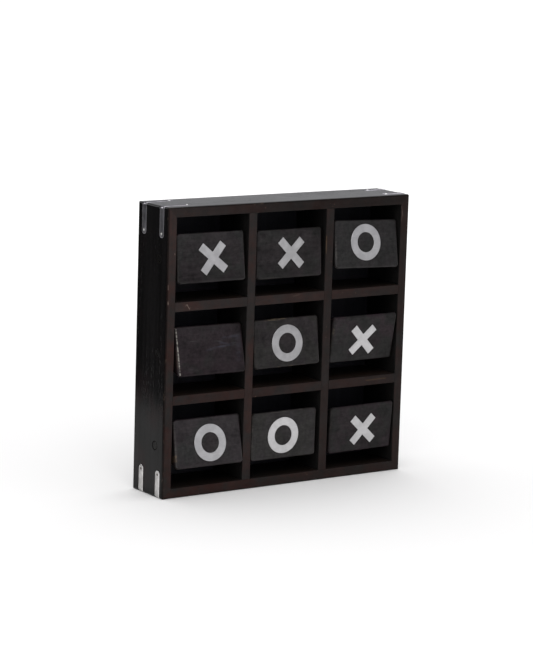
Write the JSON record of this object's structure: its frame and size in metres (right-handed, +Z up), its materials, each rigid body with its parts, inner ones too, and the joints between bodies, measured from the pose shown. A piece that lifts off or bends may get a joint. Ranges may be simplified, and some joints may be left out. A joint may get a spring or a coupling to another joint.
{
  "type": "tic tac toe set",
  "caption": "Shallow square wooden case of open cells; a triangular block turns on a dowel in each cell to show a cross, a ring or a plain face.",
  "frame": {"origin": "middle of the underside of the case, half way front to back", "axes": "+X right seen from the front, the front faces -Y, +Z up"},
  "size_m": [0.3028, 0.0621, 0.3],
  "materials": {
    "frame_wood": "hand-rubbed black-brown stain, sanded edges",
    "divider_wood": "dark red-brown stain",
    "panel": "black-stained thin board",
    "dowel": "stained hardwood dowel, end grain at the case sides",
    "block_wood": "charcoal stain over fine grain, sanded round edges",
    "inlay_metal": "matt brushed",
    "strip_metal": "dull brushed strip",
    "nail_metal": "plain steel"
  },
  "bodies": {
    "case": {"frame_left": "frame_wood", "frame_right": "frame_wood", "frame_top": "frame_wood", "frame_bottom": "frame_wood", "divider_vertical_left": "divider_wood", "divider_vertical_right": "divider_wood", "divider_horizontal_upper": "divider_wood", "divider_horizontal_lower": "divider_wood", "back_panel": "panel", "axle_top": "dowel", "axle_middle": "dowel", "axle_bottom": "dowel", "strip_top_left_front": "strip_metal", "strip_top_left_back": "strip_metal", "strip_top_right_front": "strip_metal", "strip_top_right_back": "strip_metal", "strip_bottom_left_front": "strip_metal", "strip_bottom_left_back": "strip_metal", "strip_bottom_right_front": "strip_metal", "strip_bottom_right_back": "strip_metal", "strip_nails": "nail_metal", "panel_pins": "nail_metal"},
    "turner_top_left": {"block_top_left": "block_wood", "x_inlay_top_left": "inlay_metal", "o_inlay_top_left": "inlay_metal"},
    "turner_top_centre": {"block_top_centre": "block_wood", "x_inlay_top_centre": "inlay_metal", "o_inlay_top_centre": "inlay_metal"},
    "turner_top_right": {"block_top_right": "block_wood", "x_inlay_top_right": "inlay_metal", "o_inlay_top_right": "inlay_metal"},
    "turner_middle_left": {"block_middle_left": "block_wood", "x_inlay_middle_left": "inlay_metal", "o_inlay_middle_left": "inlay_metal"},
    "turner_middle_centre": {"block_middle_centre": "block_wood", "x_inlay_middle_centre": "inlay_metal", "o_inlay_middle_centre": "inlay_metal"},
    "turner_middle_right": {"block_middle_right": "block_wood", "x_inlay_middle_right": "inlay_metal", "o_inlay_middle_right": "inlay_metal"},
    "turner_bottom_left": {"block_bottom_left": "block_wood", "x_inlay_bottom_left": "inlay_metal", "o_inlay_bottom_left": "inlay_metal"},
    "turner_bottom_centre": {"block_bottom_centre": "block_wood", "x_inlay_bottom_centre": "inlay_metal", "o_inlay_bottom_centre": "inlay_metal"},
    "turner_bottom_right": {"block_bottom_right": "block_wood", "x_inlay_bottom_right": "inlay_metal", "o_inlay_bottom_right": "inlay_metal"}
  },
  "joints": [
    {"name": "turn_top_left", "type": "hinge", "parent": "case", "child": "turner_top_left", "pos_m": [0, -0.0126, 0.2457], "axis": [1, 0, 0], "continuous": true},
    {"name": "turn_top_centre", "type": "hinge", "parent": "case", "child": "turner_top_centre", "pos_m": [0, -0.0126, 0.2457], "axis": [1, 0, 0], "continuous": true},
    {"name": "turn_top_right", "type": "hinge", "parent": "case", "child": "turner_top_right", "pos_m": [0, -0.0126, 0.2457], "axis": [1, 0, 0], "continuous": true},
    {"name": "turn_middle_left", "type": "hinge", "parent": "case", "child": "turner_middle_left", "pos_m": [0, -0.0126, 0.1496], "axis": [1, 0, 0], "continuous": true},
    {"name": "turn_middle_centre", "type": "hinge", "parent": "case", "child": "turner_middle_centre", "pos_m": [0, -0.0126, 0.1496], "axis": [1, 0, 0], "continuous": true},
    {"name": "turn_middle_right", "type": "hinge", "parent": "case", "child": "turner_middle_right", "pos_m": [0, -0.0126, 0.1496], "axis": [1, 0, 0], "continuous": true},
    {"name": "turn_bottom_left", "type": "hinge", "parent": "case", "child": "turner_bottom_left", "pos_m": [0, -0.0126, 0.0535], "axis": [1, 0, 0], "continuous": true},
    {"name": "turn_bottom_centre", "type": "hinge", "parent": "case", "child": "turner_bottom_centre", "pos_m": [0, -0.0126, 0.0535], "axis": [1, 0, 0], "continuous": true},
    {"name": "turn_bottom_right", "type": "hinge", "parent": "case", "child": "turner_bottom_right", "pos_m": [0, -0.0126, 0.0535], "axis": [1, 0, 0], "continuous": true}
  ]
}
